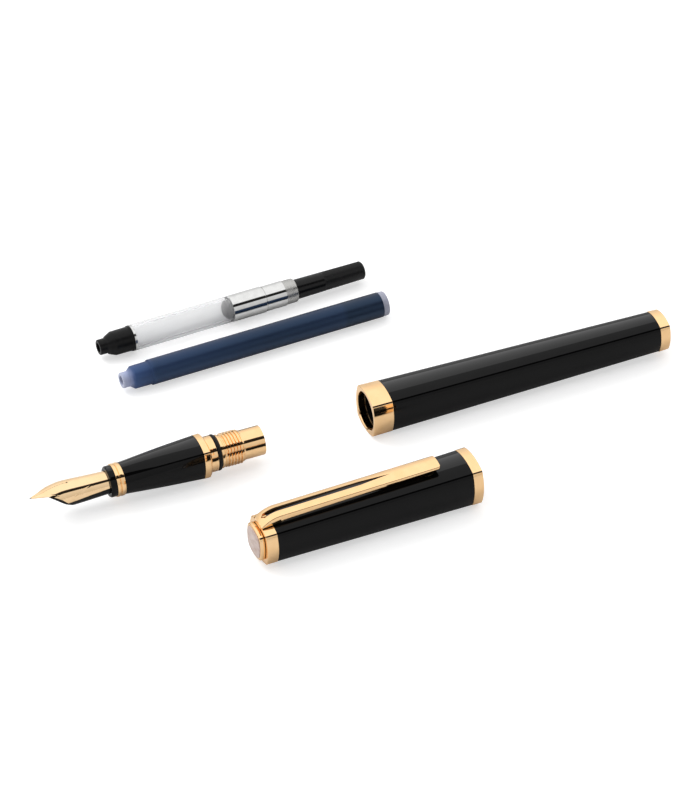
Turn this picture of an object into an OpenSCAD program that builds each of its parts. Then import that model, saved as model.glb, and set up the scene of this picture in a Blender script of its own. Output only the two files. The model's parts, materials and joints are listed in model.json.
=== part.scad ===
// Cartridge and converter fountain pen, taken apart and laid out in its lanes.
// Row frame: X along the barrel and section, nib towards -X. Z is up and z = 0 is the table.
// Each group is drawn in its own frame and then placed: see the place modules.

/* [Barrel] */
// Whole barrel, from the mouth to the tail face
barrel_len = 81.4; // [78:0.2:84]
// Width of a face between its corners, at the mouth
barrel_mouth_w = 9.4; // [9.3:0.1:9.8]
// Width of a face between its corners, at the tail
barrel_tail_w = 7.4; // [7.2:0.1:8.4]
// Gilt ring at the mouth
barrel_ring_len = 5.3; // [5:0.1:6]
// Gilt cap at the tail
barrel_end_len = 2.8; // [2.4:0.1:3.4]

/* [Cap] */
// Cap, from its lip to the back of the crown ring
cap_len = 55.9; // [55:0.1:58]
// Width of a face between its corners, at the lip
cap_lip_w = 9.96; // [9.9:0.02:10.4]
// Width of a face between its corners, at the crown
cap_crown_w = 8.68; // [8.6:0.02:9.4]
// Length of the lip ring and of the crown ring
cap_ring_len = 2.55; // [2.2:0.05:3]
// Width of the clip
clip_w = 4.8; // [4:0.1:5.2]
// Height of the clip's top over the cap axis
clip_top = 8.4; // [8.2:0.1:9]

/* [Section] */
// Length of the black grip
grip_len = 20; // [19:0.1:21]
// Diameter of the grip at its front
grip_front_d = 7.9; // [7.8:0.1:8.2]
// Width of a face between its corners, at the flange
flange_w = 7.9; // [7.6:0.1:8]
// Visible length of the nib
nib_len = 19.2; // [18:0.1:20]
// Radius of the nib's outer face
nib_r = 2.85; // [2.8:0.05:2.9]
// Number of thread crests on the tenon
thread_count = 6; // [5:1:6]
// Pitch of the thread crests
thread_pitch = 0.8; // [0.7:0.05:0.8]

/* [Converter] */
// Converter, from its mouth to the end of its knob
converter_len = 73.4; // [73:0.1:74]
// Radius of the clear tube
tube_r = 3.38; // [3.3:0.02:3.4]
// Radius of the tube's bore
tube_bore_r = 2.5; // [2.4:0.05:2.6]

/* [Cartridge] */
// Long ink cartridge, from its mouth to its end plug
cartridge_len = 72.8; // [72:0.1:73.4]
// Radius of the cartridge body
cartridge_r = 3.25; // [3.2:0.01:3.3]

/* [Layout] */
// Gap between the section's sleeve and the barrel's mouth
pen_gap = 27.6; // [16:0.1:40]
// Turn of the cap in its lane, degrees
cap_yaw = 1.6; // [0:0.1:4]
// Turn of the converter in its lane, degrees
converter_yaw = 2.4; // [0:0.1:4]
// Turn of the cartridge in its lane, degrees
cartridge_yaw = 2.1; // [0:0.1:4]

/* [Hidden] */
$fn = 64;
// Each face of the cap, barrel and flange is an arc: its middle stands this much further out than its corners
face_rise = 1.226;
corner_r = 0.45;
// Rings and caps stand this much wider than the lacquered shells
ring_step = 0.1;
cut = 0.02;

// Places of the groups: centre of the mouth, or of the nipple's end, on the table
layout_shift = [2.97, -8.79, 0];
cap_place = [14.1, -32.6];
converter_place = [-50.4, 51.65];
cartridge_place = [-49.7, 37.4];
pen_axis_z = face_rise * barrel_mouth_w / 2;
cap_axis_z = face_rise * cap_lip_w / 2;
converter_axis_z = 3.45;
cartridge_axis_z = cartridge_r;

// Barrel: x runs from the mouth (0) to the tail
barrel_bore_r = 4.9;
barrel_inner_r = 3.95;
bush_from = 2;
bush_to = 16;
bore_to = 76;
seal_seat_r = 4.63;
seal_seat_to = 4.6;
thread_zone_to = 10;
female_r = 4.32;
female_groove_r = 4.55;
female_len = 0.5;
female_lead = 0.3;
mouth_chamfer = 0.2;
stud_r = 1.45;
stud_clear = 0.05;
stud_from = 76.4;
barrel_end_x = barrel_len - barrel_end_len;

// Section: x runs from the sleeve's free end (0) towards the nib (negative)
sleeve_r = 3.7;
sleeve_bore_r = 3.45;
socket_depth = 12.6;
sleeve_len = 5.5;
sleeve_chamfer = 0.15;
thread_crest_r = 4.25;
thread_root_r = 3.85;
land_r = 4.2;
land_from = -11.4;
land_to = -10.5;
thread_from = -10.35;
thread_len = 0.65;
crest_len = 0.15;
groove_from = -12.6;
groove_r = 3.54;
collar_r = 4.5;
notch_w = 1.2;
notch_len = 0.8;
notch_depth = 0.45;
flange_back = -14.3;
flange_front = -16.3;
tenon_r = 3.4;
tenon_front = -22.3;
tenon_bore_r = 2.6;
grip_front = flange_front - grip_len;
grip_swell = 0.25;
grip_blend = 1.3;
ring_front = grip_front - 2.1;
lip_front = ring_front - 1.55;
nib_tip = lip_front - nib_len;
nib_t = 0.35;
nib_bore_r = 2.87;
nib_tip_half_w = 0.25;
nib_neck_x = nib_tip + 3.9;
nib_neck_half_w = 1.6;
shoulder_x = nib_tip + 8.3;
nib_heel = lip_front + 6;
slit_w = 0.12;
breather_x = nib_tip + 9;
breather_r = 0.45;
tipping_x = nib_tip - 0.25;
tipping_r = 0.34;
feed_point_x = nib_tip + 2.8;
feed_neck_x = nib_tip + 4;
feed_fin_t = 0.4;
o_ring_r = 0.5;
o_ring_mid_r = 4.06;
ink_pin_r = 1.15;
ink_pin_tip = -9.6;
ink_pin_base = -15.4;
ink_disc_front = -20;
ink_way_r = 0.4;
ink_pin_lead = 0.4;

// Cap: x runs from the lip (0) towards the crown (negative)
cap_mouth_r = 5.45;
cap_mouth_depth = 12;
cap_bore_r = 4.9;
inner_from = -20;
inner_seat = -25.9;
inner_floor = -47;
inner_wall_r = 4.3;
inner_nib_r = 3.5;
crown_front = -cap_len + cap_ring_len;
finial_back = -cap_len - 0.7;
finial_front = finial_back - 1.3;
inlay_front = finial_front - 0.3;
finial_w = 6.8;
inlay_w = 5.9;
inlay_corner = 1.2;
screw_r = 1.2;
screw_clear = 0.05;
screw_depth = 0.8;
crown_top = face_rise * cap_crown_w / 2;
clip_tip_x = -9.9;
clip_crest_x = -51.3;
clip_foot_x = finial_back + 0.1;
clip_crest_top = clip_top - 0.25;
clip_foot_top = clip_top - 2.2;
clip_side_h = 1.85;
clip_t = 0.6;
clip_wall = 0.6;
clip_gap = 0.1;
slot_from = clip_foot_x + 1.2;
slot_point_x = -22;
slot_taper_x = -29;
slot_half_w = 0.55;
tab_t = 0.5;
tab_w = 3.2;
tab_bottom = 4.7;
bump_r = 1.4;

// Converter: x runs from its mouth (0) to the knob's end
socket_r = 1.2;
socket_len = 6.5;
mouth_len = 8.9;
mouth_r = 3.15;
flange_r = 3.3;
throat_x = 12;
throat_r = 0.6;
nipple_r = 2;
nipple_len = 2;
band_to = 9.5;
band_r = 3.35;
seam_x = 36.1;
tube_to = 40.8;
tube_tail_r = 3;
step_x = 45.4;
ring_x = 50.9;
knob_x = 54.3;
knurl_x = 61.9;
ferrule_r = 3.42;
ferrule_tail_r = 3.27;
ferrule_bore_r = 2.85;
nut_from = 41;
nut_to = 44;
stem_from = 45.2;
stem_collar_to = 46.9;
stem_r = 2.3;
stem_collar_r = 2.75;
stem_clear = 0.07;
ring_r = 3.12;
knob_front_r = 2.58;
knob_end_r = 2.36;
knob_gap = 0.1;
knob_bore_r = 1.35;
knob_bore_to = 72;
rod_r = 1.25;
rod_flat = 0.95;
rod_clear = 0.07;
rod_to = 70.5;
piston_front = 34.3;
piston_back = 38.5;
piston_groove = 0.3;
peg_r = 0.85;
peg_len = 2;
piston_r = tube_bore_r - 0.05;

// Cartridge: x runs from its mouth (0) to its end plug
cartridge_wall = 0.5;
cartridge_inner_r = cartridge_r - cartridge_wall;
cartridge_mouth_r = 1.2;
neck_r = 2.97;
neck_len = 7.5;
mouth_bore_len = 2.6;
disc_seat_r = 1.55;
disc_t = 0.6;
neck_floor = 3.6;
neck_floor_r = 1.9;
reservoir_from = 4.4;
plug_x = cartridge_len - 1.8;
plug_len = 1.9;
ink_gap = 0.03;

// ---- Outlines and lofts ----

// A square with arc faces and rounded corners, w wide between its corners, as [y, z] points.
// Each quarter is one face arc and one corner arc, tangent to each other.
function convex_square(w, corner = corner_r, face_steps = 8, corner_steps = 3) =
    let (c = w / 2, h = c * face_rise, sag = h - c)
    let (arc_r = (c * c + sag * sag) / (2 * sag), mid = h - arc_r)
    let (t = (mid + sqrt(2 * pow(arc_r - corner, 2) - mid * mid)) / 2)
    let (half = atan2(t, t - mid))
    [for (quarter = [0 : 3])
        each turn_points(concat(
            [for (i = [0 : face_steps]) let (a = half * (2 * i / face_steps - 1))
                [mid + arc_r * cos(a), arc_r * sin(a)]],
            [for (i = [1 : corner_steps - 1]) let (a = half + (90 - 2 * half) * i / corner_steps)
                [t + corner * cos(a), t + corner * sin(a)]]), 90 * quarter)];

function turn_points(points, a) =
    [for (p = points) [p[0] * cos(a) - p[1] * sin(a), p[0] * sin(a) + p[1] * cos(a)]];

// The same points pulled towards a circle of radius r: blend is 0 for the circle, 1 for the square
function round_to_square(r, w, blend) =
    [for (p = convex_square(w)) let (d = norm(p)) p * (blend + (1 - blend) * r / d)];

// Skin through rings given as [x, points], in rising order of x
module loft(rings) {
    n = len(rings[0][1]);
    last = len(rings) - 1;
    points = [for (ring = rings) for (p = ring[1]) [ring[0], p[0], p[1]]];
    sides = [for (i = [0 : last - 1]) for (j = [0 : n - 1])
        let (a = i * n + j, b = i * n + (j + 1) % n)
        each [[a, a + n, b + n], [a, b + n, b]]];
    front = [for (j = [0 : n - 1]) j];
    back = [for (j = [0 : n - 1]) last * n + n - 1 - j];
    polyhedron(points = points, faces = concat(sides, [front, back]), convexity = 4);
}

// Convex square bar from x0 to x1 with both end edges eased
module square_bar(x0, w0, x1, w1, ease = 0.15) {
    loft([[x0, convex_square(w0 - 2 * ease)], [x0 + ease, convex_square(w0)],
        [x1 - ease, convex_square(w1)], [x1, convex_square(w1 - 2 * ease)]]);
}

// Straight plate of one outline from x0 to x1
module plate(x0, x1, outline) {
    translate([x0, 0, 0]) rotate([90, 0, 90]) linear_extrude(height = x1 - x0) polygon(outline);
}

// Round bar along X
module bar(x0, x1, r0, r1 = -1) {
    translate([x0, 0, 0]) rotate([0, 90, 0]) cylinder(h = x1 - x0, r1 = r0, r2 = r1 < 0 ? r0 : r1);
}

// Turned solid: profile points are [x, radius]
module turned(profile) {
    rotate([0, 90, 0]) rotate_extrude() polygon([for (p = profile) [p[1], p[0]]]);
}

// ---- Places of the groups ----

module place(p, z, yaw = 0) {
    translate([p[0], p[1], z] + layout_shift) rotate([0, 0, yaw]) children();
}

module barrel_place() { place([0, 0], pen_axis_z) children(); }
module section_place() { place([-pen_gap, 0], pen_axis_z) children(); }
module cap_place_at() { place(cap_place, cap_axis_z, cap_yaw) children(); }
module converter_place_at() { place(converter_place, converter_axis_z, converter_yaw) children(); }
module cartridge_place_at() { place(cartridge_place, cartridge_axis_z, cartridge_yaw) children(); }

// ---- Barrel ----

function barrel_w(x) = barrel_mouth_w + (barrel_tail_w - barrel_mouth_w) * x / barrel_len;

module barrel_mouth_ring() color("gold") barrel_place() difference() {
    square_bar(0, barrel_w(0), barrel_ring_len, barrel_w(barrel_ring_len));
    bar(-cut, barrel_ring_len + cut, barrel_bore_r);
    bar(-cut, mouth_chamfer, barrel_bore_r + mouth_chamfer + cut, barrel_bore_r);
}

module barrel_shell() color([0.05, 0.05, 0.06]) barrel_place() difference() {
    loft([[barrel_ring_len, convex_square(barrel_w(barrel_ring_len) - ring_step)],
        [barrel_end_x, convex_square(barrel_w(barrel_end_x) - ring_step)]]);
    bar(barrel_ring_len - cut, bush_to, barrel_bore_r);
    bar(bush_to - cut, bore_to, barrel_inner_r);
    bar(bore_to - cut, barrel_end_x + cut, stud_r + stud_clear);
}

// Threaded bush: seal seat, thread and a plain run behind it
module barrel_thread_bush() color("dimgray") barrel_place() turned(concat(
    [[bush_from, seal_seat_r], [bush_from, barrel_bore_r], [bush_to, barrel_bore_r],
        [bush_to, barrel_inner_r], [thread_zone_to, barrel_inner_r], [thread_zone_to, female_r]],
    [for (i = [thread_count - 1 : -1 : 0])
        let (x = seal_seat_to + female_lead + i * thread_pitch, mid = x + female_len / 2)
        each [[x + female_len, female_r], [mid + 0.05, female_groove_r], [mid - 0.05, female_groove_r],
            [x, female_r]]],
    [[seal_seat_to, female_r], [seal_seat_to, seal_seat_r]]));

module barrel_end_cap() color("gold") barrel_place() {
    square_bar(barrel_end_x, barrel_w(barrel_end_x), barrel_len, barrel_w(barrel_len), 0.25);
    bar(stud_from, barrel_end_x + barrel_end_len / 2, stud_r);
}

// ---- Section ----

// Turned tenon: grip stub, neck under the flange, notched collar, seal groove, thread and sleeve
module section_tenon() color("gold") section_place() difference() {
    union() {
        bar(tenon_front, groove_from, tenon_r);
        bar(flange_back, groove_from, collar_r);
        bar(groove_from - cut, land_from + cut, groove_r);
        turned(concat(
            [[land_from, 0], [land_from, land_r], [land_to, land_r]],
            [for (i = [0 : thread_count - 1])
                let (x = thread_from + i * thread_pitch, flank = (thread_len - crest_len) / 2)
                each [[x, thread_root_r], [x + flank, thread_crest_r],
                    [x + flank + crest_len, thread_crest_r], [x + thread_len, thread_root_r]]],
            [[-sleeve_len, sleeve_r], [-sleeve_chamfer, sleeve_r], [0, sleeve_r - sleeve_chamfer],
                [0, 0]]));
    }
    bar(-socket_depth, cut, sleeve_bore_r);
    bar(tenon_front - cut, -socket_depth + cut, tenon_bore_r);
    for (a = [0 : 90 : 270]) rotate([a + 45, 0, 0])
        translate([flange_back - cut, -notch_w / 2, collar_r - notch_depth]) cube([notch_len, notch_w, 1]);
}

module section_flange() color("gold") section_place() difference() {
    square_bar(flange_front, flange_w, flange_back, flange_w - ring_step);
    bar(flange_front - cut, flange_back + cut, tenon_r);
}

module o_ring() color([0.08, 0.08, 0.08]) section_place()
    translate([(groove_from + land_from) / 2, 0, 0]) rotate([0, 90, 0])
        rotate_extrude() translate([o_ring_mid_r, 0]) circle(r = o_ring_r);

// Grip: round at the front, growing into the flange's convex square
module section_grip() color([0.05, 0.05, 0.06]) section_place() difference() {
    steps = 10;
    loft([for (i = [0 : steps]) let (t = i / steps, swell = grip_swell * sin(180 * t))
        [grip_front + grip_len * t,
            round_to_square(grip_front_d / 2 + swell, flange_w + swell, pow(t, grip_blend))]]);
    bar(grip_front - cut, flange_front + cut, tenon_r);
}

// Ring with two beads and the groove between them
module section_trim_ring() color("gold") section_place() {
    r = grip_front_d / 2 + 0.2;
    turned([[ring_front, tenon_r], [ring_front, r - 0.15], [ring_front + 0.2, r],
        [ring_front + 0.7, r], [ring_front + 0.85, r - 0.25], [ring_front + 1, r],
        [grip_front - 0.2, r], [grip_front, r - 0.1], [grip_front, tenon_r]]);
}

// Collar that holds nib and feed: lip in front, tube through ring and grip
module nib_collar() color([0.07, 0.07, 0.07]) section_place() {
    r = grip_front_d / 2 - 0.05;
    turned([[lip_front, nib_bore_r], [lip_front, r - 0.35], [lip_front + 0.35, r],
        [ring_front, r], [ring_front, tenon_r], [tenon_front - 0.3, tenon_r],
        [tenon_front - 0.3, nib_bore_r]]);
}

// Half pipe cut to a point, with its slit and breather hole
module nib() color("gold") section_place() {
    difference() {
        intersection() {
            bar(nib_tip, nib_heel, nib_r);
            translate([0, 0, -0.05]) linear_extrude(height = nib_r + 1)
                polygon([[nib_tip, -nib_tip_half_w], [nib_neck_x, -nib_neck_half_w],
                    [shoulder_x, -nib_r - 0.1], [nib_heel, -nib_r - 0.1],
                    [nib_heel, nib_r + 0.1], [shoulder_x, nib_r + 0.1],
                    [nib_neck_x, nib_neck_half_w], [nib_tip, nib_tip_half_w]]);
        }
        bar(nib_tip - cut, nib_heel + cut, nib_r - nib_t);
        translate([nib_tip - cut, -slit_w / 2, 0]) cube([breather_x - nib_tip, slit_w, nib_r + 1]);
        translate([breather_x, 0, 0]) cylinder(h = nib_r + 1, r = breather_r);
    }
}

module nib_tipping() color("silver") section_place()
    translate([tipping_x, 0, nib_r - nib_t / 2]) sphere(r = tipping_r);

// Feed: follows the nib's underside, its front cut to a wedge
module feed() color([0.06, 0.06, 0.06]) section_place() difference() {
    intersection() {
        union() {
            bar(nib_tip, ink_disc_front, nib_r - nib_t - 0.05);
            intersection() {
                bar(nib_tip, nib_heel, nib_r - 0.02);
                translate([nib_tip, -nib_r, -nib_r - 0.05]) cube([nib_heel - nib_tip, 2 * nib_r, nib_r]);
            }
        }
        rotate([90, 0, 0]) linear_extrude(height = 3 * nib_r, center = true)
            polygon([[ink_disc_front, -nib_r], [shoulder_x, -nib_r], [feed_neck_x - 0.4, 1.2],
                [feed_point_x, 2], [feed_point_x, nib_r], [ink_disc_front, nib_r]]);
        linear_extrude(height = 3 * nib_r, center = true)
            polygon([[feed_point_x, -0.6], [feed_neck_x, -1.3], [shoulder_x, -nib_r],
                [ink_disc_front, -nib_r], [ink_disc_front, nib_r], [shoulder_x, nib_r],
                [feed_neck_x, 1.3], [feed_point_x, 0.6]]);
    }
    translate([nib_tip, -feed_fin_t / 2, nib_r - nib_t - 0.55])
        cube([ink_disc_front - nib_tip, feed_fin_t, 1]);
}

// Disc behind the feed with the hollow pin that a cartridge or converter pushes onto
module ink_nipple() color([0.12, 0.12, 0.12]) section_place() difference() {
    union() {
        bar(ink_disc_front, ink_pin_base, tenon_bore_r);
        bar(ink_pin_base - cut, ink_pin_tip - ink_pin_lead, ink_pin_r);
        bar(ink_pin_tip - ink_pin_lead, ink_pin_tip, ink_pin_r, ink_pin_r - 0.35);
    }
    bar(ink_disc_front - cut, ink_pin_tip + cut, ink_way_r);
}

// ---- Cap ----

function cap_w(x) = cap_lip_w + (cap_crown_w - cap_lip_w) * (-x) / cap_len;

module cap_lip_ring() color("gold") cap_place_at() difference() {
    square_bar(-cap_ring_len, cap_w(-cap_ring_len), 0, cap_w(0));
    bar(-cap_ring_len - cut, cut, cap_mouth_r);
}

module cap_shell() color([0.05, 0.05, 0.06]) cap_place_at() difference() {
    loft([[crown_front, convex_square(cap_w(crown_front) - ring_step)],
        [-cap_ring_len, convex_square(cap_w(-cap_ring_len) - ring_step)]]);
    bar(-cap_mouth_depth, -cap_ring_len + cut, cap_mouth_r);
    bar(crown_front - cut, -cap_mouth_depth + cut, cap_bore_r);
}

// Inner cap: guides the section and seals on its lip
module inner_cap() color([0.15, 0.15, 0.15]) cap_place_at() difference() {
    bar(crown_front, inner_from, cap_bore_r);
    bar(inner_seat, inner_from + cut, inner_wall_r);
    bar(inner_floor, inner_seat + cut, inner_nib_r);
    bar(crown_front - cut, inner_floor + cut, screw_r + screw_clear);
}

module cap_crown_ring() color("gold") cap_place_at() difference() {
    square_bar(-cap_len, cap_w(-cap_len), crown_front, cap_w(crown_front));
    bar(-cap_len - cut, crown_front + cut, screw_r + screw_clear);
}

// Clip: a bar folded down at both sides, slotted, with a tab between crown ring and finial
module clip() color("gold") cap_place_at() {
    difference() {
        rotate([90, 0, 0]) linear_extrude(height = clip_w, center = true)
            polygon([[clip_tip_x, clip_top], [clip_crest_x, clip_crest_top],
                [clip_foot_x, clip_foot_top], [clip_foot_x, crown_top + clip_gap],
                [-cap_len + cap_ring_len - 0.65, crown_top + clip_gap],
                [clip_crest_x, clip_crest_top - clip_side_h], [clip_tip_x, clip_top - clip_t]]);
        rotate([90, 0, 0]) linear_extrude(height = clip_w - 2 * clip_wall, center = true)
            polygon([[clip_tip_x - 1, clip_top - clip_t], [clip_crest_x, clip_crest_top - clip_t],
                [clip_foot_x + clip_t, clip_foot_top - clip_t], [clip_foot_x + clip_t, 4],
                [clip_tip_x - 1, 4]]);
        linear_extrude(height = clip_top + 1)
            polygon([[slot_from, -slot_half_w], [slot_taper_x, -slot_half_w + 0.1], [slot_point_x, 0],
                [slot_taper_x, slot_half_w - 0.1], [slot_from, slot_half_w]]);
    }
    translate([clip_foot_x, -tab_w / 2, tab_bottom]) cube([tab_t, tab_w, clip_foot_top - tab_bottom - cut]);
    translate([clip_tip_x - 2.2, 0, clip_top - clip_t]) intersection() {
        sphere(r = bump_r);
        translate([-2, -2, -2]) cube([4, 4, 2 + cut]);
    }
}

module finial() color("gold") cap_place_at() difference() {
    square_bar(finial_front, finial_w, finial_back, finial_w, 0.2);
    bar(finial_back - screw_depth, finial_back + cut, screw_r);
}

module finial_inlay() color([0.9, 0.85, 0.84]) cap_place_at()
    plate(inlay_front, finial_front, convex_square(inlay_w, inlay_corner));

module finial_screw() color("silver") cap_place_at()
    bar(finial_back - screw_depth, inner_floor - 0.1, screw_r);

// ---- Converter ----

// Nipple, cone, body and flange, with a spigot inside the tube
module converter_mouth() color([0.08, 0.08, 0.08]) converter_place_at() difference() {
    turned([[0, 0], [0, nipple_r - 0.25], [0.25, nipple_r], [nipple_len, nipple_r],
        [nipple_len + 0.1, nipple_r + 0.2], [4, mouth_r - 0.05], [mouth_len - 0.6, mouth_r],
        [mouth_len - 0.6, flange_r], [mouth_len, flange_r], [mouth_len, tube_bore_r],
        [throat_x, tube_bore_r - 0.2], [throat_x, 0]]);
    bar(-cut, socket_len, socket_r);
    bar(socket_len - cut, throat_x + cut, throat_r);
}

module converter_band() color("silver") converter_place_at() difference() {
    bar(mouth_len, band_to, band_r);
    bar(mouth_len - cut, band_to + cut, tube_bore_r);
}

module converter_tube() color([0.85, 0.9, 0.92, 0.4]) converter_place_at() difference() {
    union() {
        bar(band_to, seam_x, tube_r);
        bar(seam_x - cut, tube_to, tube_tail_r);
    }
    bar(band_to - cut, tube_to + cut, tube_bore_r);
}

module converter_ferrule() color("silver") converter_place_at() difference() {
    union() {
        bar(seam_x, step_x, ferrule_r);
        bar(step_x - cut, ring_x, ferrule_tail_r);
    }
    bar(seam_x - cut, nut_to + 0.2, tube_tail_r);
    bar(nut_to, ring_x + cut, ferrule_bore_r);
}

// Nut with two flats: keeps the piston rod from turning with the knob
module converter_guide_nut() color([0.2, 0.2, 0.22]) converter_place_at() difference() {
    bar(nut_from, nut_to, tube_tail_r);
    flat_bar(nut_from - cut, nut_to + cut, rod_r + rod_clear, rod_flat + rod_clear);
}

// Round bar along X with two flats, at z = flat and z = -flat
module flat_bar(x0, x1, r, flat) {
    intersection() {
        bar(x0, x1, r);
        translate([x0, -r, -flat]) cube([x1 - x0, 2 * r, 2 * flat]);
    }
}

module converter_ring() color("silver") converter_place_at() difference() {
    union() {
        turned([[ring_x, 0], [ring_x, ring_r], [knob_x - 0.7, ring_r], [knob_x - 0.2, ring_r - 0.17],
            [knob_x, ring_r - 0.42], [knob_x, 0]]);
        bar(stem_collar_to + 0.3, ring_x + cut, ferrule_bore_r);
    }
    bar(stem_collar_to, knob_x + cut, stem_r + stem_clear);
}

module converter_knob() color([0.06, 0.06, 0.06]) converter_place_at() difference() {
    turned([[stem_from, 0], [stem_from, stem_collar_r], [stem_collar_to, stem_collar_r],
        [stem_collar_to, stem_r], [knob_x + knob_gap, stem_r], [knob_x + knob_gap, knob_front_r],
        [knurl_x, knob_front_r - 0.03], [converter_len - 0.5, knob_end_r],
        [converter_len, knob_end_r - 0.4], [converter_len, 0]]);
    bar(stem_from - cut, knob_bore_to, knob_bore_r);
}

module piston_rod() color([0.75, 0.75, 0.78]) converter_place_at() {
    flat_bar(piston_back, rod_to, rod_r, rod_flat);
    bar(piston_back - peg_len, piston_back + cut, peg_r);
}

// Seal with a groove between its two lips
module piston_seal() color([0.15, 0.15, 0.16]) converter_place_at() difference() {
    turned([[piston_front, 0], [piston_front, 1.7], [piston_front + 0.4, piston_r],
        [piston_front + 1.2, piston_r], [piston_front + 1.4, piston_r - piston_groove],
        [piston_back - 1.4, piston_r - piston_groove], [piston_back - 1.2, piston_r],
        [piston_back, piston_r], [piston_back, 0]]);
    bar(piston_back - peg_len, piston_back + cut, peg_r);
}

// ---- Cartridge ----

module cartridge_body() color([0.3, 0.38, 0.6, 0.6]) cartridge_place_at()
    turned([[0, cartridge_mouth_r], [0, nipple_r - 0.15], [0.15, nipple_r], [nipple_len, nipple_r],
        [3, neck_r - 0.12], [3.2, neck_r - 0.02], [neck_len, neck_r],
        [neck_len + 0.2, cartridge_r], [plug_x, cartridge_r], [plug_x, cartridge_inner_r],
        [reservoir_from, cartridge_inner_r], [neck_floor, neck_floor_r], [neck_floor, disc_seat_r],
        [mouth_bore_len, disc_seat_r], [mouth_bore_len, cartridge_mouth_r]]);

module cartridge_ink() color([0.05, 0.08, 0.25]) cartridge_place_at()
    turned([[neck_floor + cut, 0], [neck_floor + cut, neck_floor_r - 0.05],
        [reservoir_from + 0.05, cartridge_inner_r - ink_gap],
        [plug_x - plug_len - 0.1, cartridge_inner_r - ink_gap], [plug_x - plug_len - 0.1, 0]]);

module cartridge_end_plug() color([0.78, 0.8, 0.93]) cartridge_place_at()
    turned([[plug_x - plug_len, 0], [plug_x - plug_len, cartridge_inner_r - 0.15],
        [plug_x - plug_len + 0.3, cartridge_inner_r], [plug_x, cartridge_inner_r],
        [plug_x, cartridge_r - 0.05], [cartridge_len - 0.5, cartridge_r - 0.08],
        [cartridge_len, cartridge_r - 0.5], [cartridge_len, 0]]);

// Disc pressed in behind the mouth's bore: the ink pin pushes it into the reservoir
module cartridge_seal() color([0.8, 0.82, 0.95]) cartridge_place_at()
    bar(mouth_bore_len, mouth_bore_len + disc_t, disc_seat_r);

barrel_mouth_ring();
barrel_shell();
barrel_thread_bush();
barrel_end_cap();
section_tenon();
section_flange();
o_ring();
section_grip();
section_trim_ring();
nib_collar();
nib();
nib_tipping();
feed();
ink_nipple();
cap_lip_ring();
cap_shell();
inner_cap();
cap_crown_ring();
clip();
finial();
finial_inlay();
finial_screw();
converter_mouth();
converter_band();
converter_tube();
converter_ferrule();
converter_guide_nut();
converter_ring();
converter_knob();
piston_rod();
piston_seal();
cartridge_body();
cartridge_ink();
cartridge_end_plug();
cartridge_seal();
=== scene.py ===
"""Looks of the fountain pen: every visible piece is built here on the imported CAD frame.

Each group of pieces (barrel, section, cap, converter, cartridge) has a frame of its own on its axis:
x along the axis, z up, in millimetres. Lengths and radii are read from the CAD nodes.
"""

import json
import math

import bmesh
import bpy
import numpy as np
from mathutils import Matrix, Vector

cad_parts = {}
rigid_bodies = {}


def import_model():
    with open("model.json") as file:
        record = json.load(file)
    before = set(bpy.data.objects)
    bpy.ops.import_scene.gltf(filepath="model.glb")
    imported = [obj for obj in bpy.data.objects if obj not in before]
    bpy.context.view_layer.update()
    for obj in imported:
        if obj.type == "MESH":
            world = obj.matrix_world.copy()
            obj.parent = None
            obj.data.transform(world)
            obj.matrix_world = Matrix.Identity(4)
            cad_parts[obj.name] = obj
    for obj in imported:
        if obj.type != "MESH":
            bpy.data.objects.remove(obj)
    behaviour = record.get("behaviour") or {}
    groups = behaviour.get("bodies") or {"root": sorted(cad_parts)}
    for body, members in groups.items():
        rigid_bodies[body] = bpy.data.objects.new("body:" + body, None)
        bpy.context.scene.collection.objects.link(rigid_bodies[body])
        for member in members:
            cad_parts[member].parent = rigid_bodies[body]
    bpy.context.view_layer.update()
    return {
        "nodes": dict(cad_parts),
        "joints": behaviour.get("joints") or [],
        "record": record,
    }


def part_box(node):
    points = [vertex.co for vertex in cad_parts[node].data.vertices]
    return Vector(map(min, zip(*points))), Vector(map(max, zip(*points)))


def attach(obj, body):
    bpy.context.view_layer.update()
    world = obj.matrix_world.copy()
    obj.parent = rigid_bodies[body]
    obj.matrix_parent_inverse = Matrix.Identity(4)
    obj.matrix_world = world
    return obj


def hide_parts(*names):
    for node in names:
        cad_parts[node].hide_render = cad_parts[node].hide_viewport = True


MM = 0.001
FACE_RISE = 1.226  # a convex face's middle over its corners, as in the CAD
CORNER_R = 0.3  # the small arcs beside a corner's flat
CORNER_FLAT = 0.34  # width of a corner's flat
ROUND, SQUARE = 0, 1  # what a profile's point is the outline of

# Points along one convex face, around a small corner arc, and around turned, threaded and knurled pieces
FACE_STEPS = 24
CORNER_STEPS = 4
ROUND_STEPS = 96
TENON_STEPS = 192
KNURL_STEPS = 240

SEAM = 0.02  # gap between pieces that sit against each other
WELD = 1e-7  # metres within which points count as one

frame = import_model()
scene = bpy.context.scene
record = frame["record"]
joints = {j["name"]: j for j in frame["joints"]}
body_of = {n: b for b, nodes in record["behaviour"]["bodies"].items() for n in nodes}
slot_of = {p["node"]: p["material_slot"] for p in record["subparts"]}


# ---- Frames of the groups ----


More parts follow.
